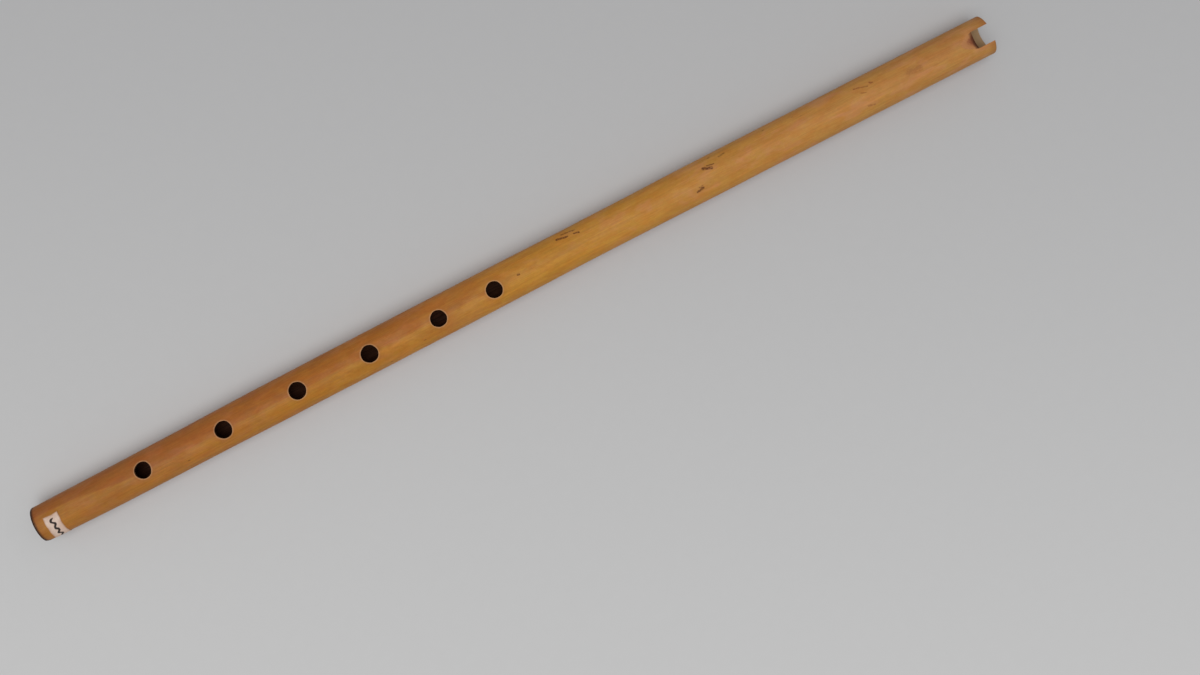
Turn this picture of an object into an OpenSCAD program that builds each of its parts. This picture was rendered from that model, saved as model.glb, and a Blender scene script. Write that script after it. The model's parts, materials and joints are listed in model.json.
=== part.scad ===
// Notched cane flute, blown at the end, lying on its back with the finger holes up.
// +X runs along the tube from the open foot to the notched head, and +Z is the
// finger-hole side. The origin is under the middle of the tube, on the surface
// that the flute lies on. All sizes are in millimetres.

/* [Cane] */
// Length from the foot to the head
flute_length = 490; // [440:1:560]
// Outer diameter at the foot
foot_d = 17.1; // [16.5:0.1:17.9]
// Outer diameter where the steeper foot taper ends
waist_d = 18.2; // [18:0.1:18.5]
// Outer diameter of the straight body, which is the widest part
body_d = 18.9; // [18.7:0.1:20]
// Diameter of the straight bore
bore_d = 13.6; // [12.6:0.1:14.2]
// Distance from the foot to the end of the steeper taper
waist_from_foot = 42; // [30:1:50]
// Distance from the foot to the start of the straight body
body_from_foot = 120; // [90:1:160]

/* [Tone holes] */
// Diameters of the six finger holes, from the lowest one up
finger_hole_ds = [7.9, 8.2, 8.2, 8.2, 7.8, 7.8]; // [6:0.1:8.8]
// Distance from the foot to the lowest finger hole
lowest_hole_from_foot = 56; // [50:0.5:60]
// Steps from each finger hole to the next one up
hole_steps = [41, 38, 36.8, 35.2, 28.5]; // [20:0.1:45]
// How far each finger hole lies off the top line, towards +Y
hole_offsets = [0.4, -0.1, 0.2, 0, -0.2, -0.2]; // [-0.6:0.1:0.6]
// Diameter of the thumb hole in the back
thumb_hole_d = 6.8; // [5:0.1:8]
// Distance from the foot to the thumb hole
thumb_hole_from_foot = 279; // [265:0.5:300]

/* [Blowing notch] */
// Width of the notch across the tube
notch_w = 8.4; // [6:0.1:9]
// Depth of the notch down from the head
notch_depth = 8.2; // [5:0.1:12]
// Length of the hollow ramp below the notch
ramp_length = 8.2; // [5:0.1:12]
// Radius of the hollow of the ramp
ramp_hollow_r = 9.2; // [8:0.1:12]
// Thickness of the blowing edge at the foot of the notch
edge_thickness = 0.4; // [0.2:0.1:0.8]

/* [Foot trim] */
// Slope of the oblique trim cut on the back of the foot, in degrees
trim_slope = 30; // [0:1:40]
// Turn of the trim cut from the back towards the -Y side, in degrees
trim_turn = 45; // [0:1:60]
// Distance from the tube's axis at which the trim cut starts
trim_start = 3.2; // [2:0.1:6]

/* [Paper label] */
// Width of the label along the tube
label_w = 7.2; // [4:0.1:12]
// Distance from the foot to the label
label_from_foot = 5.1; // [3:0.1:10]
// Arc that the label covers round the tube, in degrees
label_wrap = 108; // [40:1:160]
// Part of that arc on the +Y side of the top line, in degrees
label_overlap = 12; // [0:1:40]
// Thickness of the paper
label_thickness = 0.12; // [0.1:0.01:0.3]

/* [Hidden] */
$fn = 96;
body_r = body_d / 2;
bore_r = bore_d / 2;
head_x = flute_length / 2;
foot_x = -head_x;
notch_floor_x = head_x - notch_depth;
ramp_rise = body_r - bore_r - edge_thickness;
ramp_slope = atan(ramp_rise / ramp_length);
// How far a cutter runs past the face that it cuts
past = 1;

// Distance from the foot to a finger hole, counted from 0 at the lowest
function finger_hole_at(i) =
    i == 0 ? lowest_hole_from_foot : finger_hole_at(i - 1) + hole_steps[i - 1];

// Outer radius at a distance from the foot, within the foot taper
function taper_r(at) = (foot_d + (waist_d - foot_d) * at / waist_from_foot) / 2;

// Turns a shape that stands on the foot's centre to lie along the tube
module along_tube() translate([foot_x, 0, body_r]) rotate([0, 90, 0]) children();

// Solid cane before boring: the foot taper, the gentler taper, and the straight body
module cane_blank() {
    along_tube() rotate_extrude() polygon([
        [0, 0], [foot_d / 2, 0], [waist_d / 2, waist_from_foot],
        [body_r, body_from_foot], [body_r, flute_length], [0, flute_length]
    ]);
}

module bore() {
    along_tube() translate([0, 0, -past]) cylinder(r = bore_r, h = flute_length + 2 * past);
}

// Straight hole through one wall: the top one, or the bottom one if turned by 180 degrees
module tone_hole(from_foot, offset, d, turn) {
    translate([foot_x + from_foot, offset, body_r]) rotate([turn, 0, 0])
        cylinder(d = d, h = body_r + past);
}

// Square notch through the top wall at the head
module notch() {
    translate([notch_floor_x, -notch_w / 2, body_r])
        cube([notch_depth + past, notch_w, body_r + past]);
}

// Hollow ramp that thins the wall down to the blowing edge and stops at the notch's floor
module ramp() {
    intersection() {
        translate([notch_floor_x, 0, body_r + bore_r + edge_thickness])
            rotate([0, -90 + ramp_slope, 0])
            translate([ramp_hollow_r, 0, -2 * ramp_length])
            cylinder(r = ramp_hollow_r, h = 5 * ramp_length);
        translate([notch_floor_x - 3 * ramp_length, -body_d, body_r])
            cube([3 * ramp_length, 2 * body_d, 2 * body_d]);
    }
}

// Oblique cut that shortens the back of the foot
module foot_trim() {
    translate([foot_x, 0, body_r]) rotate([-trim_turn, 0, 0])
        translate([0, 0, -trim_start]) rotate([0, -trim_slope, 0])
        translate([-body_d, -body_d, -2 * body_d]) cube([body_d, 2 * body_d, 2 * body_d]);
}

module cane_tube() {
    color([0.69, 0.45, 0.22]) difference() {
        cane_blank();
        bore();
        for (i = [0 : len(hole_steps)])
            tone_hole(finger_hole_at(i), hole_offsets[i], finger_hole_ds[i], 0);
        tone_hole(thumb_hole_from_foot, 0, thumb_hole_d, 180);
        notch();
        ramp();
        foot_trim();
    }
}

// Thin paper strip that follows the foot taper and wraps from the top down the -Y side
module paper_label() {
    low = label_from_foot;
    high = label_from_foot + label_w;
    color([0.88, 0.84, 0.76]) along_tube()
        rotate([0, 0, 180 - label_overlap]) rotate_extrude(angle = label_wrap) polygon([
            [taper_r(low), low], [taper_r(low) + label_thickness, low],
            [taper_r(high) + label_thickness, high], [taper_r(high), high]
        ]);
}

cane_tube();
paper_label();
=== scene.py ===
"""Looks of a notched cane flute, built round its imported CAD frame.

Everything is in metres in the frame's axes: +X runs from the foot to the notched head, +Z points
out of the finger-hole side, and the flute lies on its back on z = 0. An angle round the tube is 0
at the top and grows towards -Y. A place along the tube is also given as a share u of its length,
0 at the foot and 1 at the head.
"""

import json
import math
from contextlib import contextmanager

import bmesh
import bpy
import numpy as np
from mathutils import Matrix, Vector

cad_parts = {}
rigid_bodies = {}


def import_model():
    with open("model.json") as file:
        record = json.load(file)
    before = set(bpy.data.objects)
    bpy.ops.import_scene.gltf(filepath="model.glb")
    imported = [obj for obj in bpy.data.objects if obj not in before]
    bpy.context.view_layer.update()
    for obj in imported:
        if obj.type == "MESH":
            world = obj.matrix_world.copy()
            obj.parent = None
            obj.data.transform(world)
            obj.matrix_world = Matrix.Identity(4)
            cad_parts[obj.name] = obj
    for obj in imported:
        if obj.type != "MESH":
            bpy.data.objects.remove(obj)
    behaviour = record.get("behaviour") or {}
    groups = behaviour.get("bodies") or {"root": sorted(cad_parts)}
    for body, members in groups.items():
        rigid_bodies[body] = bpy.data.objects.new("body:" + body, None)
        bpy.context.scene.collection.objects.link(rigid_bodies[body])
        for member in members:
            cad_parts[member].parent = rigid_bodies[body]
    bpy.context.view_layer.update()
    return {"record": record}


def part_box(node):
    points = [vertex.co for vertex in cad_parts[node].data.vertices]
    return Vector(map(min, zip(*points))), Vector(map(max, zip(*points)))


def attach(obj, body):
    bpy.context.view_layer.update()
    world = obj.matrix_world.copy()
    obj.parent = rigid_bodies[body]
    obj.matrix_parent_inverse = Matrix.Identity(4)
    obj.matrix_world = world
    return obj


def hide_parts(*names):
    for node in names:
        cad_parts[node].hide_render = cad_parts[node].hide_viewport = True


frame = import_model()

MM = 0.001

# ---------------------------------------------------------------- sizes taken from the frame

mounts = {m["name"]: m for m in frame["record"]["mounts"]}
notch_lo, notch_hi = frame["record"]["physics"]["openings"][0]["box_m"]
tube_lo, tube_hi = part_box("cane_tube")
label_lo, label_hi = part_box("paper_label")

FOOT_X, HEAD_X = tube_lo.x, tube_hi.x
LENGTH = HEAD_X - FOOT_X
AXIS_Z = mounts["foot_bore"]["pos_m"][2]
BORE_R = mounts["foot_bore"]["dims"]["r_mm"] * MM
BODY_R = mounts["tube_body"]["dims"]["r_mm"] * MM
OPENING_CLEARANCE = 0.1 * MM  # the stated opening stops this far short of the notch's faces
NOTCH_X = notch_lo[0] - OPENING_CLEARANCE
NOTCH_HALF = notch_hi[1] + OPENING_CLEARANCE


def tone_holes():
    """(centre in plan, radius, side) of each tone hole; side is +1 on top and -1 on the back."""
    names = sorted(n for n in mounts if n.startswith(("finger_hole", "thumb_hole")))
    return [(np.array(mounts[n]["pos_m"][:2]), mounts[n]["dims"]["r_mm"] * MM,
             1 if mounts[n]["axis"][2] > 0 else -1) for n in names]


HOLES = tone_holes()

# ---------------------------------------------------------------- shape of the cane

FOOT_R, WAIST_R = 8.55 * MM, 9.1 * MM
WAIST_X, BODY_X = FOOT_X + 42 * MM, FOOT_X + 120 * MM
EDGE_THICKNESS = 0.4 * MM  # of the blowing edge
RAMP_LENGTH = 8.2 * MM
RAMP_HOLLOW_R = 9.2 * MM
RAMP_RISE = BODY_R - BORE_R - EDGE_THICKNESS
RAMP_SLOPE = math.atan(RAMP_RISE / RAMP_LENGTH)
KNIFE_MARK = 0.03 * MM  # height of the knife's marks on the ramp
TRIM_SLOPE, TRIM_TURN = math.radians(30), math.radians(45)
TRIM_START = 3.2 * MM
TRIM_REACH = 14 * MM  # length over which the rows lean to meet the trim
TAPER_BLEND = np.array([-9, -4.5, 0, 4.5, 9]) * MM  # the tapers are averaged over this stretch

# How far the grown cane strays from true cones
BOW = 0.55 * MM  # to +Y in the middle of its length
OVAL = 0.03 * MM
BULGE, HOLLOW = 0.15 * MM, 0.17 * MM  # of the sides, below and above the middle
SWELLING, FINE_SWELLING = 0.035 * MM, 0.02 * MM
RIB, FINE_RIB = 0.016 * MM, 0.01 * MM
DENT = 0.012 * MM
SKIN_INSET = 0.05 * MM  # keeps the highest places near the true radius
BORE_WAVE, FINE_BORE_WAVE = 0.04 * MM, 0.03 * MM


def share_along(x):
    return (x - FOOT_X) / LENGTH


def bell(u, middle, spread):
    """1 in the middle, falling smoothly to 0 about two spreads away."""
    return np.exp(-((u - middle) / spread) ** 2)


def plain_radius(x):
    """Radius of the skin with its tapers blended, before the natural unevenness."""
    knots = [FOOT_X, WAIST_X, BODY_X, HEAD_X]
    radii = [FOOT_R, WAIST_R, BODY_R, BODY_R]
    return sum(np.interp(x + s, knots, radii) for s in TAPER_BLEND) / len(TAPER_BLEND)


def skin_radius(x, angle):
    """Radius of the skin: a little oval, with slow swellings and faint ribs as cane has."""
    u = share_along(x)
    oval = OVAL * np.cos(2 * angle + 0.9 + 2.2 * u)
    girth = (BULGE * bell(u, 0.36, 0.1) - HOLLOW * bell(u, 0.6, 0.08)) * np.sin(angle) ** 2
    swelling = SWELLING * np.sin(29 * u + 0.7)
    swelling += FINE_SWELLING * np.sin(67 * u + 2 * np.sin(angle) + 1.9)
    ribs = RIB * np.sin(11 * angle + 3.1 * np.sin(5 * u)) + FINE_RIB * np.sin(23 * angle + 7 * u)
    dents = DENT * np.sin(140 * u + 3 * np.cos(angle + 5 * u)) * np.cos(3 * angle + 31 * u)
    return plain_radius(x) + oval + girth + swelling + ribs + dents - SKIN_INSET


def bore_radius(x, angle):
    u = share_along(x)
    wave = BORE_WAVE * np.sin(3 * angle + 17 * u)
    return BORE_R + wave + FINE_BORE_WAVE * np.sin(5 * angle - 41 * u)


def bow(x):
    """Sideways shift of the skin, which leaves the bore straight."""
    u = share_along(x)
    return BOW * (np.sin(math.pi * u ** 1.25) - 0.5 * bell(u, 0.09, 0.08))


def ramp_height(x, y):
    """Height of the hollow ramp's surface above a point of the plan."""
    hollow = RAMP_HOLLOW_R - np.sqrt(np.maximum(RAMP_HOLLOW_R ** 2 - y ** 2, 0))
    knife = KNIFE_MARK * np.sin(x / MM * 5.2 + 1.1 * np.sin(y / MM * 1.7))
    edge_z = AXIS_Z + BORE_R + EDGE_THICKNESS
    return edge_z + hollow / math.cos(RAMP_SLOPE) + (NOTCH_X - x) * math.tan(RAMP_SLOPE) + knife


def trim_depth(y, z):
    """How far the oblique trim shortens the foot at a point of its end."""
    out = -(y * math.sin(TRIM_TURN) + (z - AXIS_Z) * math.cos(TRIM_TURN)) - TRIM_START
    return np.maximum(out, 0) * math.tan(TRIM_SLOPE)


def around_axis(x, angle, radius, shift=0):
    """Points at a radius and an angle round the tube's axis, shifted along Y."""
    return np.stack([x, shift - radius * np.sin(angle), AXIS_Z + radius * np.cos(angle)], -1)


def skin_point(x, angle):
    return around_axis(x, angle, skin_radius(x, angle), bow(x))


def bore_point(x, angle):
    return around_axis(x, angle, bore_radius(x, angle))


# ---------------------------------------------------------------- grid of the cane

COLUMNS = 120
STEP = 2 * math.pi / COLUMNS
NOTCH_COLUMN = 10  # the column that runs along each side of the notch
WARP_END_COLUMN = 27  # columns past this one aren't drawn towards the notch
DRAW_START, DRAW_END = NOTCH_X - 13 * MM, NOTCH_X - 5 * MM  # where columns turn towards it
END_ROUNDING = 0.45 * MM  # of the skin at both ends of the tube
HOLE_MARGIN = 2.1 * MM  # from a hole's rim to the border of the patch round it
FINE_MARGIN = 3.6 * MM  # from a hole's rim to the first fine row
HEAD_ZONE, FOOT_ZONE = 21 * MM, 13 * MM
PLAIN_ROW, HOLE_ROW, HEAD_ROW, FOOT_ROW = 2.7 * MM, 0.75 * MM, 0.42 * MM, 0.6 * MM
END_ROW = 0.1 * MM
ROW_SAMPLES = 20001
RAMP_SAMPLES = np.linspace(0, 6 * MM, 400)  # across the tube, past the ramp's widest place
TOUCHING = 1e-7  # metres within which two places count as one


def row_spacing(x):
    """Distance between rows at a place along the tube."""
    if min(x - FOOT_X, HEAD_X - x) < END_ROUNDING:
        return END_ROW
    if x > HEAD_X - HEAD_ZONE:
        return HEAD_ROW
    if x < FOOT_X + FOOT_ZONE:
        return FOOT_ROW
    if any(abs(x - centre[0]) < radius + FINE_MARGIN for centre, radius, _ in HOLES):
        return HOLE_ROW
    return PLAIN_ROW


def rows_between(lo, hi):
    """Row positions from lo to hi, closer together where row_spacing asks for it."""
    fine = np.linspace(lo, hi, ROW_SAMPLES)
    count = np.concatenate([[0], np.cumsum(np.diff(fine) / [row_spacing(x) for x in fine[1:]])])
    return np.interp(np.linspace(0, count[-1], round(count[-1]) + 1), count, fine)


ROWS = np.concatenate([rows_between(FOOT_X, NOTCH_X), rows_between(NOTCH_X, HEAD_X)[1:]])
FLOOR_ROW = int(np.argmin(abs(ROWS - NOTCH_X)))


def smooth_share(value, low, high):
    """0 up to low, 1 from high on, and a smooth rise between them."""
    share = np.clip((value - low) / (high - low), 0, 1)
    return share ** 2 * (3 - 2 * share)


def column_angles(side_angle, near_notch):
    """Angles of all columns on one row; near the notch they are drawn to run along its sides."""
    base = (np.arange(COLUMNS) + COLUMNS // 2) % COLUMNS - COLUMNS // 2
    even = base * STEP
    knots = np.array([0, NOTCH_COLUMN, WARP_END_COLUMN, COLUMNS // 2])
    drawn = np.interp(abs(base), knots, [0, side_angle, knots[2] * STEP, math.pi]) * np.sign(base)
    return even + (drawn - even) * near_notch


def ramp_outline_angle(x):
    """Angle at which the ramp runs out into the skin on a row, or None past its tip."""
    y, r = RAMP_SAMPLES, plain_radius(x)
    above = np.sqrt(r ** 2 - y ** 2) + AXIS_Z - ramp_height(x, y)
    if above[0] <= 0 or above.min() > 0:
        return None
    return math.asin(y[np.argmax(above <= 0)] / r)


def snap_to_ramp(angles, x):
    """Moves the nearest column on each side onto the ramp's outline, so that it stays a clean edge."""
    outline = ramp_outline_angle(x)
    if outline is None:
        return angles
    for sign in (-1, 1):
        near = int(np.argmin(abs(angles - sign * outline)))
        angles[near] = sign * outline
    return angles


def plain_grids():
    """Points of the skin and of the bore before any cut, as arrays by row and column."""
    skin, bore = [], []
    for x in ROWS:
        near_notch = smooth_share(x, DRAW_START, DRAW_END)
        outer = column_angles(math.asin(NOTCH_HALF / BODY_R), near_notch)
        inner = column_angles(math.asin(NOTCH_HALF / BORE_R), near_notch)
        if x <= NOTCH_X:
            outer = snap_to_ramp(outer, x)
        xs = np.full(COLUMNS, x)
        skin.append(skin_point(xs, outer))
        bore.append(bore_point(xs, inner))
    return np.array(skin), np.array(bore)


def round_ends(skin, bore):
    """Sinks the last rows of the skin towards the bore along a quarter circle."""
    gap = np.minimum(ROWS - FOOT_X, HEAD_X - ROWS) / END_ROUNDING
    sunk = END_ROUNDING * (1 - np.sqrt(1 - np.clip(1 - gap, 0, 1) ** 2))
    inward = bore - skin
    inward /= np.linalg.norm(inward, axis=-1, keepdims=True)
    return skin + inward * sunk[:, None, None]


def carve_ramp(skin):
    """Lowers the skin below the notch onto the hollow ramp."""
    under_ramp = (skin[..., 2] > AXIS_Z) & (skin[..., 0] <= NOTCH_X + TOUCHING)
    lowered = np.minimum(skin[..., 2], ramp_height(skin[..., 0], skin[..., 1]))
    skin[..., 2] = np.where(under_ramp, lowered, skin[..., 2])


def flatten_notch_sides(grid):
    """Puts the column on each side of the notch onto its flat side."""
    for side in (-1, 1):
        column = -side * NOTCH_COLUMN % COLUMNS
        grid[FLOOR_ROW:, column, 1] = side * NOTCH_HALF


def lean_to_trim(grid):
    """Slants the rows near the foot, so that the first one lies on the oblique trim."""
    lean = np.clip(1 - (ROWS - FOOT_X) / TRIM_REACH, 0, 1)[:, None]
    grid[..., 0] += lean * trim_depth(grid[..., 1], grid[..., 2])


def shell_grids():
    """Points of the skin and of the bore with the notch's ramp and sides and the foot's trim."""
    skin, bore = plain_grids()
    skin = round_ends(skin, bore)
    carve_ramp(skin)
    for grid in (skin, bore):
        flatten_notch_sides(grid)
        lean_to_trim(grid)
    return skin, bore


# ---------------------------------------------------------------- mesh of the cane

WALL = (0, 0.13, 0.32, 0.5, 0.68, 0.87, 1)  # layers, as shares of the wall from skin to bore
OUTER, INNER = 0, len(WALL) - 1
SKIN, CUT, BORE = range(3)  # material slots of the cane
HOLE_COLUMNS = 14  # half the width of the patch round a hole
COLLAR, NARROW_COLLAR = 0.8 * MM, 0.3 * MM  # from a rim to the two rings nearest to it
SHARES_TO_COLLAR = (0.36, 0.7, 1)  # places of the rings between a patch's border and the collar
BURR, FINE_BURR = 0.012, 0.008  # unevenness of a hole's outline, as shares of its radius
BURR_TURN = 900  # radians per metre of the tube, which turns each hole's burr another way
LIFT_PASSES = 8
EDGE_ROUNDING = 0.16 * MM
ROUNDED_FROM, SHARP_FROM = math.radians(38), math.radians(55)  # angles between two faces
EDGE_SLANT, EDGE_GAP = 0.05 * MM, 0.1 * MM  # how far the blowing edge may stray from its line


class Shell:
    """Collects the vertices and faces of the tube's wall."""

    def __init__(self):
        self.skin, self.bore = shell_grids()
        self.points, self.faces, self.slots, self.ids = [], [], [], {}
        self.gone = set()  # cells of the grid that a hole or the notch takes away

    def add(self, point):
        self.points.append(tuple(point))
        return len(self.points) - 1

    def at(self, row, column, layer):
        """Vertex of the grid at a row, a column and a layer of the wall, made when first asked for."""
        key = (row, column % COLUMNS, layer)
        if key not in self.ids:
            a, b = self.skin[key[0], key[1]], self.bore[key[0], key[1]]
            self.ids[key] = self.add(a + (b - a) * WALL[layer])
        return self.ids[key]

    def face(self, corners, slot):
        self.faces.append(corners)
        self.slots.append(slot)

    def wall_strip(self, start, end):
        """Cut faces through the wall between two (row, column) places of the grid."""
        for k in range(INNER):
            self.face([self.at(*start, k), self.at(*end, k),
                       self.at(*end, k + 1), self.at(*start, k + 1)], CUT)

    def surfaces(self):
        """Faces of the skin and of the bore."""
        for i in range(len(ROWS) - 1):
            for j in range(COLUMNS):
                if (i, j) in self.gone:
                    continue
                for layer, slot in ((OUTER, SKIN), (INNER, BORE)):
                    self.face([self.at(i, j, layer), self.at(i + 1, j, layer),
                               self.at(i + 1, j + 1, layer), self.at(i, j + 1, layer)], slot)

    def ends(self):
        """Cut faces of the foot and of the head, which the notch interrupts."""
        head = len(ROWS) - 1
        for j in range(COLUMNS):
            self.wall_strip((0, j), (0, j + 1))
            if (head - 1, j) not in self.gone:
                self.wall_strip((head, j), (head, j + 1))

    def notch(self):
        """Opens the notch, and closes the wall along its floor and its two sides."""
        columns = range(-NOTCH_COLUMN, NOTCH_COLUMN)
        rows = range(FLOOR_ROW, len(ROWS) - 1)
        self.gone |= {(i, j % COLUMNS) for i in rows for j in columns}
        for j in columns:
            self.wall_strip((FLOOR_ROW, j), (FLOOR_ROW, j + 1))
        for i in rows:
            self.wall_strip((i, -NOTCH_COLUMN), (i + 1, -NOTCH_COLUMN))
            self.wall_strip((i, NOTCH_COLUMN), (i + 1, NOTCH_COLUMN))

    def open_patch(self, centre_x, reach, side):
        """Takes the cells round a hole away; gives their border as (row, column) places."""
        middle = 0 if side > 0 else COLUMNS // 2
        low = int(np.searchsorted(ROWS, centre_x - reach)) - 1
        high = int(np.searchsorted(ROWS, centre_x + reach))
        left, right = middle - HOLE_COLUMNS, middle + HOLE_COLUMNS
        self.gone |= {(i, j % COLUMNS) for i in range(low, high) for j in range(left, right)}
        return ([(i, left) for i in range(low, high)] + [(high, j) for j in range(left, right)]
                + [(i, right) for i in range(high, low, -1)]
                + [(low, j) for j in range(right, left, -1)])

    def rim_outline(self, border, centre):
        """Outline of a hole of radius 1, a little uneven, with one point for each border place."""
        plan = np.array([self.skin[i, j % COLUMNS, :2] for i, j in border]) - centre
        x, y = (plan / abs(plan).max(axis=0)).T
        turn = np.arctan2(y, x)
        burr = BURR * np.sin(3 * turn + centre[0] * BURR_TURN) + FINE_BURR * np.sin(7 * turn + 2)
        return np.stack([np.cos(turn), np.sin(turn)], -1) * (1 + burr)[:, None]

    def ring(self, outer, points, slot):
        """Adds points and the faces between them and the ring outside them."""
        inner = [self.add(p) for p in points]
        self.ring_faces(outer, inner, slot)
        return inner

    def ring_faces(self, outer, inner, slot):
        for k in range(len(outer)):
            n = (k + 1) % len(outer)
            self.face([outer[k], outer[n], inner[n], inner[k]], slot)

    def rings_to_rim(self, border, rim, hole, layer):
        """Rings of faces on the skin or the bore, from a patch's border to the hole's rim."""
        centre, radius, side = hole
        point, slot = (skin_point, SKIN) if layer == OUTER else (bore_point, BORE)
        ring = [self.at(i, j, layer) for i, j in border]
        outline = np.array([self.points[v][:2] for v in ring])
        collar = rim * (radius + COLLAR) + centre
        plans = [outline + (collar - outline) * share for share in SHARES_TO_COLLAR]
        plans += [rim * (radius + gap) + centre for gap in (NARROW_COLLAR, 0)]
        for plan in plans:
            ring = self.ring(ring, lift(plan, side, point), slot)
        return ring

    def drill(self, hole):
        """Replaces a patch of the grid by rings round a straight hole, on skin and bore alike."""
        centre, radius, side = hole
        border = self.open_patch(centre[0], radius + HOLE_MARGIN, side)
        rim = self.rim_outline(border, centre)
        outer, inner = (self.rings_to_rim(border, rim, hole, layer) for layer in (OUTER, INNER))
        start, end = (np.array([self.points[v] for v in ring]) for ring in (outer, inner))
        ring = outer
        for share in WALL[1:-1]:
            ring = self.ring(ring, start + (end - start) * share, CUT)
        self.ring_faces(ring, inner, CUT)

    def build(self):
        self.notch()
        for hole in HOLES:
            self.drill(hole)
        self.surfaces()
        self.ends()
        return self.points, self.faces, self.slots


def lift(plan, side, point):
    """Puts points of the plan on the skin or the bore, above or below the axis."""
    x, y = plan[:, 0], plan[:, 1]
    middle = bow(x) if point is skin_point else np.zeros(len(x))
    angle = np.zeros(len(x))
    for _ in range(LIFT_PASSES):
        here = point(x, angle)
        r = np.hypot(here[:, 1] - middle, here[:, 2] - AXIS_Z)
        sine = np.clip((middle - y) / r, -1, 1)
        angle = np.arcsin(sine) if side > 0 else math.pi - np.arcsin(sine)
    return point(x, angle)


def new_object(name, points, faces):
    mesh = bpy.data.meshes.new(name)
    mesh.from_pydata([tuple(p) for p in points], [], faces)
    obj = bpy.data.objects.new(name, mesh)
    bpy.context.scene.collection.objects.link(obj)
    return obj


@contextmanager
def editing(mesh):
    """The mesh as a bmesh with its faces turned outwards; the changes are written back."""
    bm = bmesh.new()
    bm.from_mesh(mesh)
    bmesh.ops.recalc_face_normals(bm, faces=bm.faces)
    yield bm
    bm.to_mesh(mesh)
    bm.free()


def shade_smooth(bm, sharp_from):
    """Smooth shading, except over edges where the faces turn by more than an angle."""
    for face in bm.faces:
        face.smooth = True
    for edge in bm.edges:
        edge.smooth = edge.calc_face_angle(0) <= sharp_from


def store(mesh, name, values):
    """Keeps a number with each vertex, for the materials to read."""
    layer = mesh.attributes.new(name, "FLOAT", "POINT")
    layer.data.foreach_set("value", np.ascontiguousarray(values, np.float32))


def on_blowing_edge(edge):
    """Whether an edge is part of the notch's floor line, short of the notch's corners."""
    a, b = (vertex.co for vertex in edge.verts)
    mid = (a + b) / 2
    across = abs(a.x - b.x) < EDGE_SLANT
    at_floor = abs(mid.x - NOTCH_X) < EDGE_GAP and abs(mid.y) < NOTCH_HALF * 0.99
    return across and at_floor and a.z > AXIS_Z


def round_edges(bm):
    """Rounds every cut edge a little, but keeps the blowing edge keen."""
    cut = [e for e in bm.edges if e.calc_face_angle(0) > ROUNDED_FROM and not on_blowing_edge(e)]
    bmesh.ops.bevel(bm, geom=cut, offset=EDGE_ROUNDING, offset_type="OFFSET", segments=2,
                    profile=0.6, affect="EDGES", clamp_overlap=True, material=-1)


def nearest_end(points):
    """Distance from each point to the nearer cut end of the tube."""
    x, y, z = points.T
    return np.minimum(x - FOOT_X - trim_depth(y, z), HEAD_X - x)


def nearest_rim(points):
    """Distance from each point to the nearest tone hole or to the notch, in the plan."""
    x, y, z = points.T
    nearest = np.full(len(x), LENGTH)
    for centre, radius, side in HOLES:
        gap = np.abs(np.hypot(x - centre[0], y - centre[1]) - radius)
        nearest = np.where((z - AXIS_Z) * side > 0, np.minimum(nearest, gap), nearest)
    out_x, out_y = np.maximum(NOTCH_X - x, 0), np.maximum(abs(y) - NOTCH_HALF, 0)
    return np.where(z > AXIS_Z, np.minimum(nearest, np.hypot(out_x, out_y)), nearest)


def mark_surface(mesh):
    """Stores, in millimetres, each vertex's depth under the skin and distance to rims and ends."""
    points = np.empty(len(mesh.vertices) * 3)
    mesh.vertices.foreach_get("co", points)
    points = points.reshape(-1, 3)
    across = points[:, 1] - bow(points[:, 0])
    angle = np.arctan2(-across, points[:, 2] - AXIS_Z)
    depth = skin_radius(points[:, 0], angle) - np.hypot(across, points[:, 2] - AXIS_Z)
    store(mesh, "skin_depth", depth / MM)
    store(mesh, "rim_gap", nearest_rim(points) / MM)
    store(mesh, "end_gap", nearest_end(points) / MM)


def make_cane():
    points, faces, slots = Shell().build()
    obj = new_object("cane_flute", points, faces)
    obj.data.polygons.foreach_set("material_index", slots)
    with editing(obj.data) as bm:
        round_edges(bm)
        shade_smooth(bm, SHARP_FROM)
    mark_surface(obj.data)
    return obj


# ---------------------------------------------------------------- paper label

LABEL_ARC = (math.radians(-12), math.radians(97))  # from beyond the top line down the -Y side
LABEL_TURN = LABEL_ARC[1] - LABEL_ARC[0]
LABEL_LONG, LABEL_WIDE = FOOT_R * LABEL_TURN, label_hi.x - label_lo.x
LABEL_SKEW = 0.9 * MM  # how far the strip runs towards the foot as it wraps
PASTE = 0.03 * MM
LABEL_THICKNESS, LABEL_BITE = 0.12 * MM, 0.05 * MM  # above and below the top of the paste
LABEL_CELLS = (72, 30)  # round the tube and along it
CURL, FOOT_CURL = 0.28 * MM, 0.12 * MM  # of the two corners beyond the top line
CREASE, FINE_CREASE = 0.0144 * MM, 0.008 * MM
CUT_WAVE, FINE_CUT_WAVE = 0.10 * MM, 0.05 * MM  # of the strip's long sides
SHORT_CUT_WAVE = 0.012  # radians, of its short sides
LABEL_SHARP_FROM = math.radians(40)


def corner_curl(reach):
    """1 at a corner of the label, falling to 0 where reach is 1."""
    return np.clip(1 - reach, 0, 1)


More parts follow.
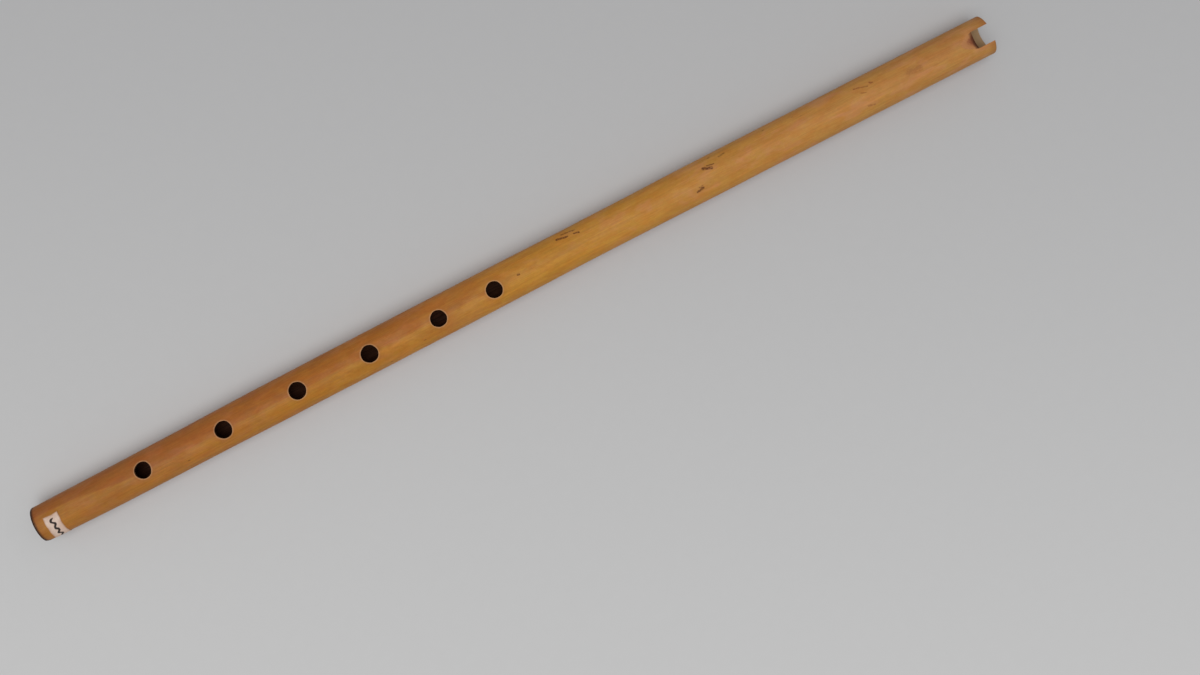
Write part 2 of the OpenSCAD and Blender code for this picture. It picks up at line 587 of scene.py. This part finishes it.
def label_point(a, b, lift_off):
    """Point of the label at shares a round the tube and b along it, raised by lift_off."""
    cut = CUT_WAVE * np.sin(9 * a + 1) * (2 * b - 1) + FINE_CUT_WAVE * np.sin(23 * a + 4 * b)
    x = label_lo.x + LABEL_WIDE * b + LABEL_SKEW * (0.45 - a) + cut
    angle = LABEL_ARC[0] + LABEL_TURN * a + SHORT_CUT_WAVE * np.sin(8 * b + 0.5) * (2 * a - 1)
    curl = CURL * corner_curl(np.hypot(a * 5, (1 - b) * 2.4)) ** 1.6
    curl += FOOT_CURL * corner_curl(np.hypot(a * 7, b * 3)) ** 1.5
    crease = CREASE * np.sin(31 * a + 5 * b) * np.sin(7 * b + 9 * a)
    crease += FINE_CREASE * np.sin(57 * a - 19 * b)
    return around_axis(x, angle, skin_radius(x, angle) + curl + crease + PASTE + lift_off, bow(x))


def sheet_faces():
    """Faces of the label's two sides and of its four cut edges, by vertex number."""
    around, along = LABEL_CELLS
    count = (around + 1) * (along + 1)

    def corner(i, j):
        return i * (along + 1) + j

    faces = []
    for i in range(around):
        for j in range(along):
            ring = [corner(i, j), corner(i, j + 1), corner(i + 1, j + 1), corner(i + 1, j)]
            faces += [ring, [v + count for v in reversed(ring)]]
    border = ([(i, 0) for i in range(around)] + [(around, j) for j in range(along)]
              + [(i, along) for i in range(around, 0, -1)] + [(0, j) for j in range(along, 0, -1)])
    for k, here in enumerate(border):
        m, n = corner(*here), corner(*border[(k + 1) % len(border)])
        faces.append([m, n, n + count, m + count])
    return faces


def make_label():
    shares = [np.linspace(0, 1, cells + 1) for cells in LABEL_CELLS]
    a, b = (grid.ravel() for grid in np.meshgrid(*shares, indexing="ij"))
    sides = [label_point(a, b, LABEL_THICKNESS), label_point(a, b, -LABEL_BITE)]
    obj = new_object("label_strip", np.concatenate(sides), sheet_faces())
    store(obj.data, "label_round", np.tile(a, 2))
    store(obj.data, "label_along", np.tile(b, 2))
    with editing(obj.data) as bm:
        shade_smooth(bm, LABEL_SHARP_FROM)
    return obj


# ---------------------------------------------------------------- shader building blocks


def rgb(r, g, b):
    """A colour as seen on screen, 0 to 255, turned into the linear values that a shader takes."""
    def linear(v):
        v /= 255
        return v / 12.92 if v <= 0.04045 else ((v + 0.055) / 1.055) ** 2.4
    return (linear(r), linear(g), linear(b), 1)


class Shader:
    """Adds and links the nodes of one material."""

    def __init__(self, name):
        self.material = bpy.data.materials.new(name)
        self.material.use_nodes = True
        self.tree = self.material.node_tree
        self.tree.nodes.clear()
        self.surface = self.tree.nodes.new("ShaderNodeBsdfPrincipled")
        out = self.tree.nodes.new("ShaderNodeOutputMaterial")
        self.tree.links.new(self.surface.outputs[0], out.inputs[0])
        self.place = self.tree.nodes.new("ShaderNodeTexCoord").outputs["Object"]
        self.x, self.y, self.z = self.node("ShaderNodeSeparateXYZ", self.place).outputs[:]

    def feed(self, socket, value):
        if isinstance(value, bpy.types.NodeSocket):
            self.tree.links.new(value, socket)
        else:
            socket.default_value = value

    def node(self, kind, *values, **settings):
        made = self.tree.nodes.new(kind)
        for key, value in settings.items():
            setattr(made, key, value)
        for socket, value in zip(made.inputs, values):
            if value is not None:
                self.feed(socket, value)
        return made

    def math(self, operation, *values, clamp=False):
        return self.node("ShaderNodeMath", *values, operation=operation, use_clamp=clamp).outputs[0]

    def times(self, first, *others):
        for other in others:
            first = self.math("MULTIPLY", first, other)
        return first

    def plus(self, first, second, clamp=False):
        return self.math("ADD", first, second, clamp=clamp)

    def swing(self, noise, width):
        """A noise moved to vary about 0, over a width."""
        return self.times(self.math("SUBTRACT", noise, 0.5), width)

    def vector(self, operation, *values):
        made = self.node("ShaderNodeVectorMath", *values, operation=operation)
        return made.outputs["Value" if operation in ("DOT_PRODUCT", "LENGTH") else "Vector"]

    def scale(self, vector, factor):
        return self.vector("SCALE", vector, None, None, factor)

    def cells(self, along, across):
        """The place, counted in cells that are so many metres long and wide."""
        return self.vector("MULTIPLY", self.place, (1 / along, 1 / across, 1 / across))

    def noise(self, vector, detail=2.0, roughness=0.5, distortion=0.0, colour=False):
        made = self.node("ShaderNodeTexNoise")
        for key, value in (("Vector", vector), ("Scale", 1), ("Detail", detail),
                           ("Roughness", roughness), ("Distortion", distortion)):
            self.feed(made.inputs[key], value)
        return made.outputs["Color" if colour else "Fac"]

    def spots(self, vector):
        """Distance to the nearest of many scattered points, one to a cell."""
        made = self.node("ShaderNodeTexVoronoi")
        for key, value in (("Vector", vector), ("Scale", 1), ("Randomness", 1)):
            self.feed(made.inputs[key], value)
        return made.outputs["Distance"]

    def remap(self, value, low, high, to_low=0.0, to_high=1.0, smooth=True):
        return self.node("ShaderNodeMapRange", value, low, high, to_low, to_high,
                         interpolation_type="SMOOTHSTEP" if smooth else "LINEAR").outputs[0]

    def ramp(self, value, stops):
        made = self.node("ShaderNodeValToRGB", value)
        elements = made.color_ramp.elements
        while len(elements) < len(stops):
            elements.new(0.5)
        for element, (position, colour) in zip(elements, stops):
            element.position, element.color = position, colour
        return made.outputs["Color"]

    def mix(self, share, a, b, blend="MIX"):
        made = self.node("ShaderNodeMix", data_type="RGBA", blend_type=blend)
        for index, value in ((0, share), (6, a), (7, b)):
            self.feed(made.inputs[index], value)
        return made.outputs[2]

    def shade(self, colour, share, low, high):
        """Multiplies a colour by a grey that goes from low to high as share goes from 0 to 1."""
        return self.scale(colour, self.remap(share, 0, 1, low, high, smooth=False))

    def attribute(self, name):
        return self.node("ShaderNodeAttribute", attribute_name=name).outputs["Fac"]

    def bump(self, height, depth, before=None):
        """Raises the surface by up to depth metres where height is 1."""
        made = self.node("ShaderNodeBump")
        for key, value in (("Strength", 1), ("Distance", depth), ("Height", height)):
            self.feed(made.inputs[key], value)
        if before is not None:
            self.feed(made.inputs["Normal"], before)
        return made.outputs["Normal"]

    def stroke(self, plan, start, end, width):
        """1 on a line of the plan from start to end, falling to 0 at its edges."""
        a, b = Vector((*start, 0)), Vector((*end, 0))
        span = b - a
        away = self.vector("SUBTRACT", plan, a)
        share = self.math("DIVIDE", self.vector("DOT_PRODUCT", away, span), span.length_squared,
                          clamp=True)
        gap = self.vector("LENGTH", self.vector("SUBTRACT", away, self.scale(span, share)))
        return self.remap(gap, width * 0.25, width * 0.75, 1, 0)

    def finish(self, colour, roughness, normal, gloss):
        """Sets the surface's look; gloss is the strength of its reflections, 0.5 for a plain one."""
        for name, value in (("Base Color", colour), ("Roughness", roughness), ("Normal", normal)):
            self.feed(self.surface.inputs[name], value)
        self.surface.inputs["Specular IOR Level"].default_value = gloss
        return self.material


# ---------------------------------------------------------------- skin of the cane

# Colour of the skin along the tube, from the foot to the head, on the top and on the back
TOP_TONES = [(0.0, rgb(169, 114, 43)), (0.16, rgb(173, 114, 42)), (0.33, rgb(179, 122, 38)),
             (0.40, rgb(185, 127, 46)), (0.55, rgb(193, 138, 49)), (0.78, rgb(191, 137, 63)),
             (1.0, rgb(187, 136, 69))]
BACK_TONES = [(0.0, rgb(166, 99, 36)), (0.18, rgb(177, 103, 31)), (0.34, rgb(194, 120, 31)),
              (0.47, rgb(204, 131, 32)), (0.7, rgb(205, 136, 40)), (1.0, rgb(197, 134, 59))]

# Tints that multiply the skin's colour
FOOT_TINT, RUDDY_TINT, MOTTLE_TINT = rgb(241, 224, 246), rgb(238, 210, 204), rgb(255, 240, 236)

# Colours that cover it; the pale rim colour is a painted highlight
RED_STAIN, ROSY_SKIN, PAINTED_RIM_HIGHLIGHT = rgb(138, 70, 34), rgb(216, 144, 118), rgb(206, 160, 118)
# the burnt brown is scorch, and inside the tone holes it is also painted shade
GRIME, OLD_MARK, SCORCH_AND_SHADE = rgb(78, 32, 16), rgb(118, 56, 30), rgb(44, 24, 14)
CUT_WOOD, OLD_CUT = rgb(190, 131, 82), rgb(140, 80, 52)

# Scuffs as (distance from foot, y) of both ends, a width, all in millimetres, and a strength
TOP_SCUFFS = [((271, 6.9), (276, 6.0), 0.85, 0.85), ((274, 8.0), (280.5, 7.3), 0.6, 0.6),
              ((279.5, 5.9), (281.8, 5.3), 0.7, 0.85), ((338, -3.4), (341.2, -2.7), 1.0, 0.75),
              ((339.6, -1.9), (340.6, -2.2), 0.6, 0.6), ((345, 4.9), (348.6, 3.6), 1.35, 0.85),
              ((347.2, 5.4), (350.4, 4.7), 0.6, 0.7), ((354, 6.6), (357, 6.9), 0.7, 0.5),
              ((422.5, 5.6), (428.5, 4.0), 0.65, 0.6), ((430.2, 5.0), (431.4, 4.4), 0.75, 0.7),
              ((424.5, 2.4), (426.6, 1.7), 0.6, 0.5), ((248.2, 0.9), (248.7, 0.8), 0.9, 0.8),
              ((425, -4.2), (428, -5.0), 0.8, 0.4), ((448, 0.9), (453, 0.1), 3.2, 0.3)]
BACK_SCUFFS = [((243, -6.2), (248, -6.7), 0.8, 0.8), ((246, -5.6), (247.5, -6.3), 0.6, 0.7),
               ((36, 2.0), (43, 1.2), 0.7, 0.6), ((390, 3.0), (396, 3.3), 0.5, 0.5)]


class CaneSkin(Shader):
    """Worn, slightly waxy cane skin. Each method that takes a colour adds one layer to it."""

    def __init__(self):
        super().__init__("cane_skin")
        self.along = self.remap(self.x, FOOT_X, HEAD_X, smooth=False)  # 0 at the foot, 1 at the head
        self.up = self.math("DIVIDE", self.math("SUBTRACT", self.z, AXIS_Z), BODY_R)  # -1 to 1
        self.side = self.math("DIVIDE", self.y, BODY_R)  # -1 to 1, towards +Y
        wobble = self.swing(self.noise(self.cells(60 * MM, 60 * MM)), 0.16)
        self.wavy_side = self.plus(self.side, wobble)
        self.fibres, self.streaks, self.blotches = self.grain()
        self.marks = self.math("MAXIMUM", self.scuffs(TOP_SCUFFS, 1), self.scuffs(BACK_SCUFFS, -1))
        self.depth = self.attribute("skin_depth")
        self.bared = self.remap(self.depth, 0.05, 0.25)  # 1 where the knife has cut the skin away
        self.chatter = self.noise(self.cells(0.8 * MM, 1.3 * MM), detail=4, roughness=0.7)

    def grain(self):
        """Fibres, streaks and blotches that run along the cane, each from 0 to 1."""
        fibres = self.noise(self.cells(16 * MM, 0.26 * MM), detail=4, roughness=0.62, distortion=0.15)
        streaks = self.noise(self.cells(85 * MM, 1.3 * MM), detail=4, roughness=0.55, distortion=0.3)
        blotches = self.noise(self.cells(13 * MM, 5 * MM), detail=5, roughness=0.62, distortion=0.9)
        return (self.remap(fibres, 0.3, 0.7), self.remap(streaks, 0.3, 0.7),
                self.remap(blotches, 0.32, 0.68))

    def scuffs(self, marks, side):
        """Where short scratches and smudges show on the top (side 1) or on the back (side -1)."""
        shaky = self.noise(self.cells(1.2 * MM, 1.2 * MM), detail=3, colour=True)
        wander = self.scale(self.vector("SUBTRACT", shaky, (0.5, 0.5, 0.5)), 0.7 * MM)
        plan = self.vector("MULTIPLY", self.vector("ADD", self.place, wander), (1, 1, 0))
        mask = None
        for start, end, width, strength in marks:
            a, b = ((FOOT_X + p[0] * MM, p[1] * MM) for p in (start, end))
            line = self.times(self.stroke(plan, a, b, width * MM), strength)
            mask = line if mask is None else self.math("MAXIMUM", mask, line)
        facing = self.remap(self.times(self.up, side), 0, 0.3)
        broken = self.noise(self.cells(0.6 * MM, 0.5 * MM), detail=3)
        return self.times(mask, facing, self.remap(broken, 0.34, 0.56, 0.35, 1))

    def tones(self):
        """Tones of the back and the top along the tube, drifting with the blotches."""
        drift = self.plus(self.swing(self.blotches, 0.10), self.along)
        return self.mix(self.remap(self.up, -0.55, 0.35), self.ramp(drift, BACK_TONES),
                        self.ramp(drift, TOP_TONES))

    def soft_step(self, colour):
        """Over the foot half, a long soft step beside the finger holes, redder towards +Y."""
        start = self.remap(self.along, 0.03, 0.11, 0.42, 0)
        step = self.remap(self.math("SUBTRACT", self.wavy_side, start), -0.1, 0.02)
        step = self.times(step, self.remap(self.up, 0.0, 0.4),
                          self.remap(self.along, 0.40, 0.54, 1, 0.15))
        return self.mix(step, colour, FOOT_TINT, "MULTIPLY")

    def ruddy_back(self, colour):
        """The back is redder and darker towards -Y, over its whole length."""
        ruddy = self.times(self.remap(self.wavy_side, -0.34, 0.03, 1, 0),
                           self.remap(self.up, -0.42, -0.05, 1, 0))
        return self.mix(ruddy, colour, RUDDY_TINT, "MULTIPLY")

    def grained(self, colour):
        """Lighter and darker blotches, streaks, fibres and specks, from coarse to fine."""
        specks = self.noise(self.cells(1.6 * MM, 0.9 * MM), detail=3, roughness=0.7)
        colour = self.shade(colour, self.blotches, 0.955, 1.045)
        colour = self.shade(colour, self.streaks, 0.95, 1.05)
        colour = self.shade(colour, self.fibres, 0.92, 1.08)
        return self.shade(colour, self.remap(specks, 0.3, 0.7), 0.96, 1.04)

    def mottled(self, colour):
        """Cloudy changes of hue: faint mottling, red stains, and rosy patches near the head."""
        mottle = self.noise(self.cells(8 * MM, 4.5 * MM), detail=5, roughness=0.7)
        colour = self.mix(self.remap(mottle, 0.36, 0.64), colour, MOTTLE_TINT, "MULTIPLY")
        warm = self.noise(self.cells(48 * MM, 9 * MM), detail=5, roughness=0.65)
        colour = self.mix(self.times(self.remap(warm, 0.5, 0.72), 0.22), colour, RED_STAIN)
        rosy = self.noise(self.cells(15 * MM, 6 * MM), detail=4, roughness=0.6, distortion=0.5)
        rosy = self.times(self.remap(rosy, 0.48, 0.66), self.remap(self.along, 0.4, 0.75, 0.07, 0.2))
        return self.mix(rosy, colour, ROSY_SKIN)

    def marked(self, colour):
        """Rare freckles, and scuffs that are redder near the head."""
        freckles = self.remap(self.spots(self.cells(9 * MM, 3.2 * MM)), 0.05, 0.11, 1, 0)
        rare = self.remap(self.noise(self.cells(30 * MM, 12 * MM), detail=1), 0.52, 0.6)
        colour = self.mix(self.times(freckles, rare, 0.55), colour, GRIME)
        tone = self.mix(self.remap(self.along, 0.74, 0.84), GRIME, OLD_MARK)
        return self.mix(self.marks, colour, tone)

    def carved(self, colour):
        """On the ramp the knife has bared the wood, pinkish and then burnt at the very edge."""
        uneven = self.swing(self.chatter, 1.6)
        wood = self.mix(self.remap(self.plus(self.depth, uneven), 0.7, 1.7), CUT_WOOD, OLD_CUT)
        wood = self.shade(wood, self.chatter, 0.75, 1.2)
        colour = self.mix(self.bared, colour, wood)
        to_lip = self.remap(self.x, NOTCH_X - 10 * MM, NOTCH_X, 10, 0, smooth=False)
        burnt = self.remap(self.plus(self.times(uneven, 0.6), to_lip), 0.4, 2.1, 0.95, 0)
        burnt = self.times(burnt, self.remap(self.depth, 0.03, 0.2),
                           self.remap(self.side, -0.3, 0.5, 1, 0.7))
        return self.mix(burnt, colour, SCORCH_AND_SHADE)

    def handled(self, colour):
        """Handling has darkened the ends over the foot half, and the back is darker at both ends; the
        rims, except the lips of the notch, get a painted pale highlight.
        """
        ragged = self.swing(self.chatter, 0.9)
        rim = self.plus(self.attribute("rim_gap"), ragged)
        end = self.plus(self.attribute("end_gap"), ragged)
        # the ends are darkened by handling over the foot half, and on the back they are darker at both
        # ends
        darkened_ends = self.math("MAXIMUM", self.remap(self.along, 0.3, 0.5, 1, 0),
                           self.remap(self.up, -0.6, -0.3, 0.6, 0))
        colour = self.mix(self.remap(end, 0.4, 4.5, 0.30, 0), colour, RED_STAIN)
        colour = self.mix(self.times(self.remap(end, 0.5, 1.9, 0.95, 0), darkened_ends), colour, SCORCH_AND_SHADE)
        colour = self.mix(self.remap(rim, 0.1, 2.4, 0.16, 0), colour, RED_STAIN)
        # painted highlight: the pale band round the tone holes' rims stands in for light catching
        # their edges
        below_notch = self.remap(self.along, 0.9, 0.93, 1, 0)
        pale = self.times(self.remap(rim, 0.1, 0.7, 0.5, 0), below_notch)
        return self.mix(pale, colour, PAINTED_RIM_HIGHLIGHT)

    def worn_roughness(self):
        """Waxy where the skin is whole, duller where it is cut or scuffed."""
        wear = self.noise(self.cells(7 * MM, 3 * MM), detail=5, roughness=0.6)
        roughness = self.remap(wear, 0.3, 0.7, 0.46, 0.66)
        for harm in (self.bared, self.marks):
            roughness = self.plus(roughness, self.times(harm, 0.2), clamp=True)
        return roughness

    def relief(self):
        """Slow ripples, raised fibres, and the knife's chatter where the wood is bared."""
        normal = self.bump(self.noise(self.cells(30 * MM, 3.5 * MM), detail=3), 0.10 * MM)
        normal = self.bump(self.fibres, 0.022 * MM, normal)
        return self.bump(self.times(self.chatter, self.bared), 0.09 * MM, normal)


def skin_material():
    s = CaneSkin()
    colour = s.tones()
    for layer in (s.soft_step, s.ruddy_back, s.grained, s.mottled, s.marked, s.carved, s.handled):
        colour = layer(colour)
    return s.finish(colour, s.worn_roughness(), s.relief(), gloss=0.25)


# ---------------------------------------------------------------- cut wood, bore and paper

DARK_PITH, PALE_PITH, BUNDLE = rgb(152, 98, 62), rgb(186, 138, 92), rgb(62, 36, 20)
# the bore's two darkest colours are painted shade inside the tube; the pale one is its own colour
BORE_SHADE_DARK, BORE_SHADE_BROWN, BORE_DUST = rgb(52, 28, 18), rgb(84, 48, 30), rgb(44, 26, 18)
BORE_PALE = rgb(184, 152, 114)
OLD_PAPER, PALE_PAPER, PAPER_EDGE = rgb(214, 184, 166), rgb(230, 206, 190), rgb(168, 118, 74)
INK = rgb(20, 16, 16)
PEN_WAVES, PEN_HEIGHT = 4.6, 0.075  # of the pen line: how many, and half their height
PEN_HALF = (0.085, 0.115)  # the pen line's half width, to where its ink starts and stops fading


def cut_material():
    """End grain and the walls of the holes and the notch: pithy, scorched and handled, with painted
    shade deep in the tone holes.
    """
    s = Shader("cane_cut")
    depth = s.attribute("skin_depth")
    pith = s.noise(s.cells(2.2 * MM, 0.5 * MM), detail=5, roughness=0.65)
    colour = s.mix(s.remap(pith, 0.3, 0.7), DARK_PITH, PALE_PITH)
    bundles = s.remap(s.spots(s.cells(9 * MM, 0.42 * MM)), 0.16, 0.34, 1, 0)
    colour = s.mix(s.times(bundles, 0.6), colour, BUNDLE)
    rind = s.math("MAXIMUM", s.remap(depth, 0.15, 0.6, 1, 0), s.remap(depth, 1.7, 2.6, 0, 0.7))
    colour = s.mix(s.times(rind, s.remap(s.x, 0, HEAD_X, 0.75, 0.2)), colour, SCORCH_AND_SHADE)
    # painted shade: the tone holes' walls darken deeper into the wall, for the shade inside the holes
    hole_painted_shade = s.times(s.remap(s.x, NOTCH_X - 60 * MM, NOTCH_X - 50 * MM, 1, 0),
                       s.remap(s.x, FOOT_X + 20 * MM, FOOT_X + 30 * MM))
    colour = s.mix(s.times(hole_painted_shade, s.remap(depth, 0.2, 1.6, 0.4, 0.88)), colour, SCORCH_AND_SHADE)
    normal = s.bump(bundles, -0.05 * MM, s.bump(pith, 0.08 * MM))
    return s.finish(colour, s.remap(pith, 0.3, 0.7, 0.6, 0.85), normal, gloss=0.15)


def bore_material():
    """The inside of the cane: dull, dusty and streaked along its length, dark with painted shade, and
    paler near both ends.
    """
    s = Shader("cane_bore")
    fibres = s.noise(s.cells(22 * MM, 0.35 * MM), detail=4, roughness=0.6)
    dust = s.noise(s.cells(9 * MM, 3 * MM), detail=5, roughness=0.65)
    # painted shade: the fibres are drawn in dark colours, for the shade deep inside the tube
    colour = s.mix(s.remap(fibres, 0.3, 0.7), BORE_SHADE_DARK, BORE_SHADE_BROWN)
    colour = s.mix(s.remap(dust, 0.45, 0.75, 0, 0.5), colour, BORE_DUST)
    colour = s.mix(s.remap(s.x, FOOT_X, FOOT_X + 22 * MM, 0.45, 0), colour, BORE_PALE)
    colour = s.mix(s.remap(s.x, NOTCH_X - 6 * MM, NOTCH_X + 1 * MM, 0, 0.8), colour, BORE_PALE)
    roughness = s.remap(dust, 0.3, 0.7, 0.6, 0.85)
    return s.finish(colour, roughness, s.bump(fibres, 0.05 * MM), gloss=0.12)


def pen_line(s, a, b, fibres):
    """1 under one wavy pen line that runs the length of the label, and 0 beside it."""
    hand = s.math("SUBTRACT", s.noise(s.cells(5 * MM, 5 * MM), detail=1), 0.5)
    flow = s.plus(s.times(a, 2 * math.pi * PEN_WAVES), s.times(hand, 3))
    middle = s.plus(s.times(s.math("SINE", flow), PEN_HEIGHT), 0.5)
    middle = s.plus(s.times(hand, 0.4), middle)
    steepest = 2 * math.pi * PEN_WAVES * PEN_HEIGHT * LABEL_WIDE / LABEL_LONG
    steep = s.times(s.math("COSINE", flow), steepest)
    lean = s.math("SQRT", s.plus(s.times(steep, steep), 1))
    gap = s.math("DIVIDE", s.math("ABSOLUTE", s.math("SUBTRACT", b, middle)), lean)
    pen = s.remap(s.plus(s.times(fibres, 0.05), gap), *PEN_HALF, 1, 0)
    return s.times(pen, s.remap(a, 0.08, 0.1), s.remap(a, 0.93, 0.95, 1, 0))


def paper_material():
    """Aged writing paper with fibres, a yellowed border and one wavy pen line."""
    s = Shader("label_paper")
    a, b = s.attribute("label_round"), s.attribute("label_along")
    fibres = s.noise(s.cells(0.5 * MM, 0.5 * MM), detail=5, roughness=0.7, distortion=1.2)
    cloud = s.noise(s.cells(3 * MM, 3 * MM), detail=4)
    colour = s.mix(s.remap(cloud, 0.3, 0.7), OLD_PAPER, PALE_PAPER)
    colour = s.shade(colour, s.remap(fibres, 0.3, 0.7), 0.93, 1.04)
    from_edge = [s.times(s.math("MINIMUM", share, s.math("SUBTRACT", 1, share)), size / MM)
                 for share, size in ((a, LABEL_LONG), (b, LABEL_WIDE))]
    frayed = s.plus(s.math("MINIMUM", *from_edge), s.swing(fibres, 0.7))
    colour = s.mix(s.remap(frayed, 0.05, 0.7, 0.5, 0), colour, PAPER_EDGE)
    colour = s.mix(s.times(pen_line(s, a, b, fibres), 0.95), colour, INK)
    roughness = s.remap(fibres, 0.3, 0.7, 0.72, 0.9)
    return s.finish(colour, roughness, s.bump(fibres, 0.03 * MM), gloss=0.2)


# ---------------------------------------------------------------- floor, light and camera

CAMERA_DISTANCE = 0.690  # from the tube's axis
CAMERA_LENS = 44.99  # mm, on a sensor 36 mm wide
CAMERA_ROLL = math.radians(27.39)
CAMERA_SHIFT = (0.0728, -0.0482)
IMAGE_UP = Vector((math.sin(CAMERA_ROLL), math.cos(CAMERA_ROLL), 0))
KEY_FROM = Vector((-0.12, -0.13, 0.984))  # where the key light comes from
KEY_STRENGTH, KEY_SPREAD = 1.55, math.radians(50)
SKY_STRENGTH = 0.33
FLOOR_SIZE = 60.0
FLOOR_GREY, FLOOR_PAINTED_LIGHT, FLOOR_FAR = rgb(186, 186, 187), rgb(214, 214, 214), rgb(172, 172, 172)


def floor_material():
    """Plain pale grey, with painted light making it lighter towards the image's lower side; far off it
    is as light as the sky.
    """
    s = Shader("floor_grey")
    # painted light: the grey is mixed towards a lighter one on the image's lower side, for light
    # falling across the floor
    toward = s.vector("DOT_PRODUCT", s.place, -IMAGE_UP)
    colour = s.mix(s.remap(toward, -0.25, 0.3), FLOOR_GREY, FLOOR_PAINTED_LIGHT)
    colour = s.mix(s.remap(s.vector("LENGTH", s.place), 0.4, 2.2), colour, FLOOR_FAR)
    fine = s.noise(s.cells(6 * MM, 6 * MM), detail=3)
    colour = s.shade(colour, fine, 0.99, 1.01)
    return s.finish(colour, 0.9, s.bump(fine, 0.02 * MM), gloss=0)


def make_floor():
    half = FLOOR_SIZE / 2
    corners = [(-half, -half, 0), (half, -half, 0), (half, half, 0), (-half, half, 0)]
    floor = new_object("floor", corners, [(0, 1, 2, 3)])
    floor.data.materials.append(floor_material())


def make_key_light():
    """One broad key light."""
    data = bpy.data.lights.new("key_light", "SUN")
    data.energy, data.angle = KEY_STRENGTH, KEY_SPREAD
    key = bpy.data.objects.new("key_light", data)
    key.rotation_euler = (-KEY_FROM).to_track_quat("-Z", "Y").to_euler()
    bpy.context.scene.collection.objects.link(key)


def make_sky():
    """A plain even sky."""
    world = bpy.data.worlds.new("studio")
    world.use_nodes = True
    background = world.node_tree.nodes["Background"]
    background.inputs["Color"].default_value = (1, 1, 1, 1)
    background.inputs["Strength"].default_value = SKY_STRENGTH
    bpy.context.scene.world = world


def make_camera():
    data = bpy.data.cameras.new("camera")
    data.lens, data.sensor_width = CAMERA_LENS, 36
    data.shift_x, data.shift_y = CAMERA_SHIFT
    data.clip_start = 0.01
    camera = bpy.data.objects.new("camera", data)
    camera.location = (0, 0, AXIS_Z + CAMERA_DISTANCE)
    camera.rotation_euler = (0, 0, -CAMERA_ROLL)
    bpy.context.scene.collection.objects.link(camera)
    bpy.context.scene.camera = camera


# ---------------------------------------------------------------- the scene

make_camera()
make_floor()
make_key_light()
make_sky()
bpy.context.scene.view_settings.view_transform = "Standard"

cane = make_cane()
for material in (skin_material(), cut_material(), bore_material()):
    cane.data.materials.append(material)
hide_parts("cane_tube")
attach(cane, "root")

label = make_label()
label.data.materials.append(paper_material())
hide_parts("paper_label")
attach(label, "root")
